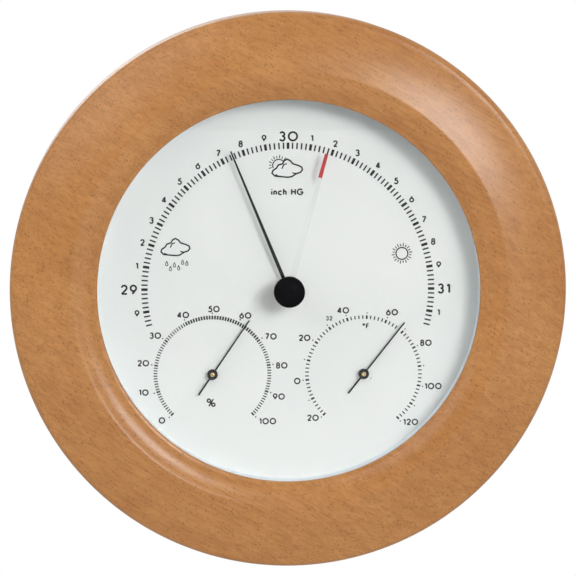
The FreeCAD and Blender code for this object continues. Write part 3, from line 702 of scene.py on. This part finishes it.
@dataclass
class Window:
    """Glass, spacer and setting knob. Radii are millimetres."""

    glass_r: float = 75.4
    hole_r: float = 2.15
    edge: float = 0.3
    knob_r: float = 5.85
    bore_r: float = 1.2

    def glass(self) -> None:
        """The pane, with a ground edge and a drilled middle."""
        back, front = (d / MM for d in depth_span("glass"))
        e = self.edge
        line = Turning((self.hole_r, back)).to((self.glass_r - e, back), (self.glass_r, back + e))
        line.to((self.glass_r, front - e), (self.glass_r - e, front), (self.hole_r, front))
        pane = finished_piece("window_pane", line.mesh(), FINISHES["window_glass"])
        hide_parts("glass")

    def spacer(self) -> None:
        """The white ring between dial and pane, tinted bluish grey as painted shade for the crescent at the
        dial's right edge.
        """
        back, front = (d / MM for d in depth_span("spacer_ring"))
        line = Turning((75.3, back)).to((75.3, front), (72.6, front)).arc((72.45, front - 0.1),
                                                                          (72.4, front - 0.4), 4)
        line.to((72.4, back))
        ring = finished_piece("white_spacer", line.mesh(), FINISHES["white_plastic"])
        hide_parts("spacer_ring")

    def knob(self) -> None:
        """The low domed knob, with a rolled rim and a small centre mark."""
        back, front = (d / MM for d in depth_span("setting_knob"))
        r, tall = self.knob_r, front - back
        line = Turning((self.bore_r, back)).to((r - 0.5, back)).arc((r - 0.15, back + 0.15),
                                                                    (r, back + 0.5), 5)
        line.to((r, back + tall * 0.5)).arc((r - 0.25, back + 3.35), (r - 0.9, back + 3.9), 8)
        line.arc((2.9, back + 4.85), (0.9, front), 10).arc((0.6, front - 0.08), (0.3, front - 0.11), 4)
        line.to((0.0, front - 0.11), (0.0, back + 3.9), (self.bore_r, back + 3.9))
        line.points.append(line.points[0])
        knob = finished_piece("domed_knob", line.mesh(128), FINISHES["knob_black"],
                              "setting_pointer")
        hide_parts("setting_knob")

    def build(self) -> None:
        """Makes all three."""
        self.glass()
        self.spacer()
        self.knob()


# ------------------------------------------------------------------ printed dial
class Glyph(Enum):
    """Figures and letters as strokes, in units of the cap height: b is a bar, a is an arc with its angles."""

    ZERO = ("0", 1.0, (("a", 0.5, 0.5, 0.5, 0, 360),))
    ONE = ("1", 0.26, (("b", 0.26, 0, 0.26, 1), ("b", 0.26, 1, 0.0, 0.82)))
    TWO = ("2", 0.58, (("a", 0.29, 0.71, 0.29, -38, 172), ("b", 0.52, 0.53, 0.0, 0.0),
                       ("b", -0.02, 0.0, 0.62, 0.0)))
    THREE = ("3", 0.56, (("a", 0.27, 0.75, 0.25, -90, 160), ("a", 0.27, 0.26, 0.28, -160, 95)))
    FOUR = ("4", 0.66, (("b", 0.48, 0, 0.48, 1), ("b", 0.48, 1, 0.0, 0.25), ("b", -0.03, 0.25, 0.68, 0.25)))
    FIVE = ("5", 0.58, (("b", 0.58, 1, 0.16, 1), ("b", 0.18, 1.0, 0.09, 0.56),
                        ("a", 0.27, 0.32, 0.32, -155, 128)))
    SIX = ("6", 0.66, (("a", 0.33, 0.33, 0.33, 0, 360), ("b", 0.05, 0.5, 0.46, 1.0)))
    SEVEN = ("7", 0.58, (("b", -0.02, 1, 0.6, 1), ("b", 0.57, 1, 0.16, 0)))
    EIGHT = ("8", 0.6, (("a", 0.3, 0.76, 0.24, 0, 360), ("a", 0.3, 0.27, 0.28, 0, 360)))
    NINE = ("9", 0.66, (("a", 0.33, 0.67, 0.33, 0, 360), ("b", 0.61, 0.5, 0.2, 0.0)))
    LOW_I = ("i", 0.0, (("b", 0, 0, 0, 0.64), ("b", 0, 0.9, 0, 1.04)))
    LOW_N = ("n", 0.44, (("b", 0, 0, 0, 0.64), ("a", 0.22, 0.42, 0.22, 0, 180), ("b", 0.44, 0, 0.44, 0.42)))
    LOW_C = ("c", 0.54, (("a", 0.32, 0.32, 0.32, 45, 315),))
    LOW_H = ("h", 0.44, (("b", 0, 0, 0, 1.05), ("a", 0.22, 0.42, 0.22, 0, 180), ("b", 0.44, 0, 0.44, 0.42)))
    CAP_H = ("H", 0.66, (("b", 0, 0, 0, 1), ("b", 0.66, 0, 0.66, 1), ("b", 0, 0.52, 0.66, 0.52)))
    CAP_G = ("G", 0.98, (("a", 0.5, 0.5, 0.5, 40, 360), ("b", 0.55, 0.47, 1.0, 0.47)))
    CAP_F = ("F", 0.46, (("b", 0, 0, 0, 1), ("b", 0, 1, 0.5, 1), ("b", 0, 0.54, 0.44, 0.54)))
    DEGREE = ("o", 0.36, (("a", 0.18, 0.84, 0.17, 0, 360),))
    PERCENT = ("%", 1.0, (("a", 0.22, 0.78, 0.22, 0, 360), ("a", 0.84, 0.22, 0.22, 0, 360),
                          ("b", 0.22, 0, 0.84, 1)))
    MINUS = ("-", 0.4, (("b", 0, 0.45, 0.4, 0.45),))

    @classmethod
    def strokes(cls, letter: str) -> tuple[float, tuple[tuple[Any, ...], ...]]:
        """Width and strokes of a letter."""
        return next((g.value[1], g.value[2]) for g in cls if g.value[0] == letter)


@dataclass
class Printer:
    """Lays thin strokes of ink on the dial. All its arguments are millimetres on the dial, right and up."""

    face_mm: float
    film_mm: float = 0.035
    bm: bmesh.types.BMesh = field(default_factory=bmesh.new)

    def bar(self, a: Point, b: Point, width: float) -> None:
        """A straight stroke from a to b."""
        (ax, az), (bx, bz) = a, b
        length, turn = math.hypot(bx - ax, bz - az), math.atan2(bz - az, bx - ax)
        place = Matrix.Translation(Vector(((ax + bx) / 2, -(self.face_mm + self.film_mm / 2),
                                           (az + bz) / 2)) * MM)
        shape = Matrix.Diagonal((length * MM, self.film_mm * MM, width * MM, 1.0))
        bmesh.ops.create_cube(self.bm, size=1.0, matrix=place @ Matrix.Rotation(-turn, 4, "Y") @ shape)

    def arc(self, centre: Point, radius: float, start: float, end: float, width: float) -> None:
        """A round stroke between two angles, in degrees from the right, turning towards the top."""
        full = abs(end - start) >= 360
        cx, cz = centre
        a = math.radians(start)
        ring = []
        for r, d in ((radius - width / 2, 0), (radius + width / 2, 0), (radius + width / 2, 1),
                     (radius - width / 2, 1)):
            depth = self.face_mm + d * self.film_mm
            ring.append(self.bm.verts.new(Vector((cx + r * math.cos(a), -depth, cz + r * math.sin(a))) * MM))
        edges = [self.bm.edges.new((ring[i], ring[(i + 1) % 4])) for i in range(4)]
        bmesh.ops.spin(
            self.bm, geom=ring + edges, cent=Vector((cx, 0, cz)) * MM, axis=(0, -1, 0),
            angle=math.radians(end - start), steps=max(4, round(abs(end - start) / 12)), use_merge=full,
        )

    def dot(self, centre: Point, radius: float) -> None:
        """A filled spot."""
        place = Matrix.Translation(Vector((centre[0], -(self.face_mm + self.film_mm / 2), centre[1])) * MM)
        bmesh.ops.create_cone(
            self.bm, cap_ends=True, segments=16, radius1=radius * MM, radius2=radius * MM,
            depth=self.film_mm * MM, matrix=place @ Matrix.Rotation(math.pi / 2, 4, "X"),
        )

    def text(self, words: str, centre: Point, cap: float, weight: float = 0.13, gap: float = 0.2) -> None:
        """Upright figures centred on a point.

        Args:
            words: the letters.
            centre: middle of the line of text.
            cap: height of a capital.
            weight: stroke width, as a share of the cap height.
            gap: space between letters, as a share of the cap height.
        """
        body, stroke = cap * (1 - weight), cap * weight
        widths = [Glyph.strokes(c)[0] if c != " " else 0.25 for c in words]
        total = sum(widths) * body + (len(words) - 1) * (gap * cap + stroke)
        left, base = centre[0] - total / 2, centre[1] - body / 2
        for letter, width in zip(words, widths):
            for kind, *n in Glyph.strokes(letter)[1] if letter != " " else ():
                if kind == "b":
                    self.bar((left + n[0] * body, base + n[1] * body),
                             (left + n[2] * body, base + n[3] * body), stroke)
                else:
                    self.arc((left + n[0] * body, base + n[1] * body), n[2] * body, n[3], n[4], stroke)
            left += width * body + gap * cap + stroke

    def finish(self, name: str) -> None:
        """Closes the strokes' ends and makes the piece."""
        open_edges = [e for e in self.bm.edges if len(e.link_faces) == 1]
        bmesh.ops.holes_fill(self.bm, edges=open_edges, sides=4)
        finished_piece(name, self.bm, INK)


def clock(centre: Point, radius: float, degrees: float) -> Point:
    """The point at a clock angle, clockwise from the top, on a circle."""
    a = math.radians(degrees)
    return centre[0] + radius * math.sin(a), centre[1] + radius * math.cos(a)


HUMIDITY_FIGURES: tuple[Point, ...] = (
    (-19.2, -17.6), (-26.1, -6.9), (-26.2, 4.3), (-21.6, 14.8), (-11.1, 22.6), (0.6, 24.8),
    (12.5, 22.3), (22.2, 14.3), (26.3, 3.2), (25.2, -8.7), (20.9, -18.1),
)
HEAT_FIGURES: tuple[Point, ...] = (
    (-19.2, -16.9), (-25.2, -2.8), (-22.4, 13.7), (-7.8, 24.1),
    (10.8, 23.3), (23.7, 11.6), (26.5, -5.0), (18.0, -18.7),
)


# A cloud's outline and its inner curls, as shares of half its width from its middle.
CLOUD_OUTLINE: tuple[Point, ...] = (
    (-0.99, -0.20), (-0.93, -0.02), (-0.70, 0.14), (-0.58, 0.34), (-0.30, 0.42), (-0.20, 0.62), (0.0, 0.72),
    (0.20, 0.62), (0.36, 0.42), (0.74, 0.30), (0.94, 0.20), (0.99, 0.02), (0.86, -0.14), (0.60, -0.22),
    (0.30, -0.42), (0.05, -0.46), (-0.40, -0.42), (-0.80, -0.38),
)
CLOUD_CURLS: tuple[tuple[Point, ...], ...] = (
    ((-0.34, 0.12), (-0.22, 0.36), (-0.06, 0.42)), ((0.36, -0.18), (0.60, -0.22)),
    ((-0.74, -0.30), (-0.54, -0.40)),
)


@dataclass
class Scale:
    """A ring of ticks with dots and figures. Lengths are millimetres and angles are clock degrees."""

    centre: Point
    radius: float
    tick: float
    zero: float
    step: float
    count: int
    thin: float
    thick: float

    def ticks(self, ink: Printer, bold: Callable[[int], bool], long_by: float = 0.0) -> None:
        """Draws the ticks.

        Args:
            ink: what draws.
            bold: says which ticks are thick.
            long_by: how much longer a thick tick is.
        """
        for i in range(self.count):
            angle, heavy = self.zero + i * self.step, bold(i)
            half = (self.tick + (long_by if heavy else 0.0)) / 2
            ink.bar(clock(self.centre, self.radius - half, angle),
                    clock(self.centre, self.radius + half, angle),
                    self.thick if heavy else self.thin)

    def at(self, index: float, radius: float) -> Point:
        """The point at a tick's angle on another circle."""
        return clock(self.centre, radius, self.zero + index * self.step)


class PrintedDial:
    """Everything printed on the white sheet. Lengths are millimetres from the main axis."""

    def __init__(self) -> None:
        """Reads the sheet's face and the small hands' axes."""
        self.face = depth_span("dial_plate")[1] / MM
        self.left = self.centre_behind("hygrometer_frame")
        self.right = self.centre_behind("thermometer_frame")

    @staticmethod
    def centre_behind(node: str) -> Point:
        """The axis of a small instrument, from the frame that carries it."""
        x, z = axis_of(node)
        return x / MM, z / MM

    @staticmethod
    def beside(centre: Point, offset: Point) -> Point:
        """A point moved by an offset."""
        return centre[0] + offset[0], centre[1] + offset[1]

    def barometer(self, ink: Printer) -> None:
        """Inches of mercury from 28.84 to 31.16, a tick for each two hundredths."""
        scale = Scale((0.0, 0.0), 54.35, 2.4, -104.4, 1.8, 117, 0.58, 1.0)
        scale.ticks(ink, lambda i: (i - 58) % 5 == 0)
        for tenths in range(-11, 12):
            angle = tenths * 9.0
            if tenths == 0:
                ink.text("30", (0.2, 57.9), 3.9, 0.185)
            elif abs(tenths) == 10:
                ink.text("29" if tenths < 0 else "31", clock((0, 0), 60.2 if tenths < 0 else 59.2, angle),
                         3.9, 0.185)
            else:
                ink.text(str(tenths % 10), clock((0, 0), 57.9, angle), 2.6, 0.21)
        ink.text("inch HG", (-0.3, 36.9), 2.6, 0.22, 0.10)

    def hygrometer(self, ink: Printer) -> None:
        """Relative humidity from 0 to 100 percent, heavier through the comfortable range."""
        scale = Scale(self.left, 21.6, 1.45, -135.0, 2.7, 101, 0.44, 0.66)
        scale.ticks(ink, lambda i: 40 <= i <= 70 or i % 10 == 0)
        for tens, place in enumerate(HUMIDITY_FIGURES):
            ink.dot(scale.at(tens * 10, 23.25), 0.28)
            ink.text(str(tens * 10), self.beside(self.left, place), 2.5, 0.21, 0.11)
        ink.text("%", (self.left[0] - 0.6, self.left[1] - 10.9), 3.3, 0.17)

    def thermometer(self, ink: Printer) -> None:
        """Degrees Fahrenheit from -20 to 120."""
        scale = Scale(self.right, 21.5, 1.35, -136.1, 3.98, 71, 0.46, 0.7)
        scale.ticks(ink, lambda i: i % 5 == 0)
        for i in range(0, 71, 5):
            ink.dot(scale.at(i, 23.1), 0.26)
        for number, place in enumerate(HEAT_FIGURES):
            ink.text(str(abs(number * 20 - 20)), self.beside(self.right, place), 2.5, 0.21, 0.11)
        ink.text("32", self.beside(self.right, (-13.1, 21.1)), 1.7, 0.21, 0.13)
        ink.text("oF", self.beside(self.right, (0.8, 18.1)), 2.1, 0.21, 0.13)
        ink.dot(self.beside(self.right, (2.8, -1.9)), 0.22)

    def cloud(self, ink: Printer, centre: Point, size: float, line: float) -> None:
        """Brush-drawn outline of a long cloud with a raised top.

        Args:
            ink: what draws.
            centre: middle of the cloud.
            size: half its width.
            line: stroke width.
        """
        path = [(centre[0] + size * x, centre[1] + size * z) for x, z in CLOUD_OUTLINE]
        self.stroke(ink, path + path[:1], line)
        for curl in CLOUD_CURLS:
            self.stroke(ink, [(centre[0] + size * x, centre[1] + size * z) for x, z in curl], line * 0.8)

    @staticmethod
    def stroke(ink: Printer, path: Sequence[Point], line: float) -> None:
        """Straight strokes through points, with round joints."""
        for a, b in zip(path, path[1:]):
            ink.bar(a, b, line)
        for point in path:
            ink.dot(point, line / 2)

    def sun(self, ink: Printer, centre: Point, disc: float, reach: float, line: float, arc: Point,
            rays: int) -> None:
        """A ring with rays.

        Args:
            ink: what draws.
            centre: middle of the sun.
            disc: the ring's radius.
            reach: the rays' outer radius.
            line: stroke width.
            arc: first and last angle drawn, in degrees from the right.
            rays: how many rays over that arc.
        """
        ink.arc(centre, disc, arc[0], arc[1], line)
        for i in range(rays):
            a = math.radians(arc[0] + (arc[1] - arc[0]) * (i + 0.5) / rays)
            inner = disc + 0.28 * (reach - disc)
            end = reach if i % 2 == 0 else disc + 0.8 * (reach - disc)
            ink.bar((centre[0] + inner * math.cos(a), centre[1] + inner * math.sin(a)),
                    (centre[0] + end * math.cos(a), centre[1] + end * math.sin(a)), line * 0.8)

    def weather(self, ink: Printer) -> None:
        """The three weather signs."""
        self.cloud(ink, (-42.6, 15.4), 5.5, 0.55)
        for x, z in ((-45.9, 10.0), (-44.5, 8.1), (-43.0, 9.5), (-41.4, 8.4), (-39.9, 10.5), (-38.3, 10.1)):
            ink.arc((x, z - 0.5), 0.46, 150, 390, 0.3)
            ink.bar((x - 0.4, z - 0.28), (x, z + 0.8), 0.3)
            ink.bar((x + 0.4, z - 0.28), (x, z + 0.8), 0.3)
        self.sun(ink, (43.2, 13.4), 2.25, 3.95, 0.46, (0, 360), 20)
        self.cloud(ink, (-0.3, 45.1), 5.8, 0.58)
        self.sun(ink, (-3.5, 46.9), 2.3, 4.0, 0.42, (38, 206), 9)

    def build(self) -> None:
        """Prints every scale and sign."""
        for name, draw in (("barometer_print", self.barometer), ("hygrometer_print", self.hygrometer),
                           ("thermometer_print", self.thermometer), ("weather_signs_print", self.weather)):
            ink = Printer(self.face)
            draw(ink)
            ink.finish(name)


# ------------------------------------------------------------------ CAD nodes that stay
class CarriedNodes:
    """The CAD nodes shown as they are, each dressed in its slot's finish."""

    def build(self) -> None:
        """Gives every CAD node its finish."""
        slots = {s["node"]: s["material_slot"] for s in frame["record"]["subparts"]}
        for name, node in frame["nodes"].items():
            material = FINISHES[slots[name]].material()
            for slot in node.material_slots:
                slot.material = material
            log.info("node %s: %s", name, material.name)


# ------------------------------------------------------------------ studio
@dataclass
class Studio:
    """Camera, lights, floor and surroundings. Lengths are metres."""

    elevation_deg: float = 5.5
    distance: float = 1.4
    field_width: float = 0.2215
    azimuth_deg: float = -2.5
    aim: tuple[float, float, float] = (0.0009, 0.0, -0.0016)
    floor_z: float = -0.36
    floor_half_width: float = 8.0
    floor_shade: float = 0.60
    room_tint: Color = (0.93, 0.97, 1.0)
    # name, direction from the dial, distance, side and watts
    softboxes: tuple[tuple[str, tuple[float, float, float], float, float, float], ...] = (
        ("key_softbox", (0.44, -1.0, 0.30), 3.0, 0.80, 30.0),
        ("fill_softbox", (-0.80, -1.0, 0.85), 3.0, 2.2, 24.0),
        ("back_softbox", (-0.5, 1.0, 0.6), 2.5, 1.5, 14.0),
    )

    def camera(self) -> None:
        """A long lens a little above the object's level."""
        data = bpy.data.cameras.new("long_lens")
        data.sensor_width = 36.0
        data.lens = data.sensor_width * self.distance / self.field_width
        data.clip_start, data.clip_end = 0.05, 50.0
        camera = bpy.data.objects.new("camera", data)
        bpy.context.scene.collection.objects.link(camera)
        a, e = math.radians(self.azimuth_deg), math.radians(self.elevation_deg)
        back = Vector((math.sin(a) * math.cos(e), -math.cos(a) * math.cos(e), math.sin(e)))
        camera.location = Vector(self.aim) + back * self.distance
        camera.rotation_mode = "QUATERNION"
        camera.rotation_quaternion = (-back).to_track_quat("-Z", "Y")
        bpy.context.scene.camera = camera

    def softbox(self, name: str, towards: Sequence[float], distance: float, size: float,
                power: float) -> None:
        """A square area light aimed at the dial.

        Args:
            name: the light's name.
            towards: direction from the dial to the light.
            distance: how far off it stands.
            size: its side.
            power: its watts.
        """
        data = bpy.data.lights.new(name, "AREA")
        data.shape, data.size, data.energy = "SQUARE", size, power
        light = bpy.data.objects.new(name, data)
        bpy.context.scene.collection.objects.link(light)
        direction = Vector(towards).normalized()
        light.location = direction * distance
        light.rotation_mode = "QUATERNION"
        light.rotation_quaternion = direction.to_track_quat("Z", "Y")

    def surroundings(self) -> None:
        """White behind everything, and a dimmer fill from the viewer's side for what the object reflects."""
        world = bpy.data.worlds.new("white_room")
        bpy.context.scene.world = world
        world.use_nodes = True
        world.node_tree.nodes.clear()
        tree = Tree(world.node_tree)
        facing = tree.add("SeparateXYZ", {0: tree.add("TexCoord").outputs["Generated"]})
        fill = tree.remap(facing.outputs[1], -0.95, 0.3, 0.07, 0.80)
        seen = tree.add("LightPath").outputs["Is Camera Ray"]
        strength = tree.math("MAXIMUM", fill, seen)
        tint = tree.mix(seen, self.room_tint, (1.0, 1.0, 1.0))
        background = tree.add("Background", {"Color": tint, "Strength": strength})
        tree.add("OutputWorld", {"Surface": background.outputs[0]})

    def floor(self) -> None:
        """A wide pale floor, well below."""
        bm = bmesh.new()
        bmesh.ops.create_grid(bm, x_segments=1, y_segments=1, size=self.floor_half_width,
                              matrix=Matrix.Translation((0, 0, self.floor_z)))
        mesh = bpy.data.meshes.new("pale_floor")
        bm.to_mesh(mesh)
        bm.free()
        paint = bpy.data.materials.new("pale_floor")
        paint.use_nodes = True
        paint.node_tree.nodes.clear()
        tree = Tree(paint.node_tree)
        soft = tree.add("BsdfDiffuse", {0: (self.floor_shade, self.floor_shade, self.floor_shade, 1.0)})
        glow = tree.add("Emission", {0: (1.0, 1.0, 1.0, 1.0), 1: 1.0})
        seen = tree.add("LightPath").outputs["Is Camera Ray"]
        both = tree.add("MixShader", {0: seen, 1: soft.outputs[0], 2: glow.outputs[0]})
        tree.add("OutputMaterial", {"Surface": both.outputs[0]})
        mesh.materials.append(paint)
        floor = bpy.data.objects.new("pale_floor", mesh)
        bpy.context.scene.collection.objects.link(floor)

    def build(self) -> None:
        """Sets up the studio."""
        self.camera()
        self.surroundings()
        self.floor()
        for name, towards, distance, size, power in self.softboxes:
            self.softbox(name, towards, distance, size, power)
        bpy.context.scene.view_settings.view_transform = "Standard"


def main() -> None:
    """Builds the looks in order."""
    logging.basicConfig(level=logging.INFO, format="%(name)s: %(message)s")
    for part in (Studio(), CarriedNodes(), BeechCase(), FrontDiaphragm(), Window(), PrintedDial()):
        log.info("building %s", type(part).__name__)
        part.build()


if __name__ == "__main__":
    main()
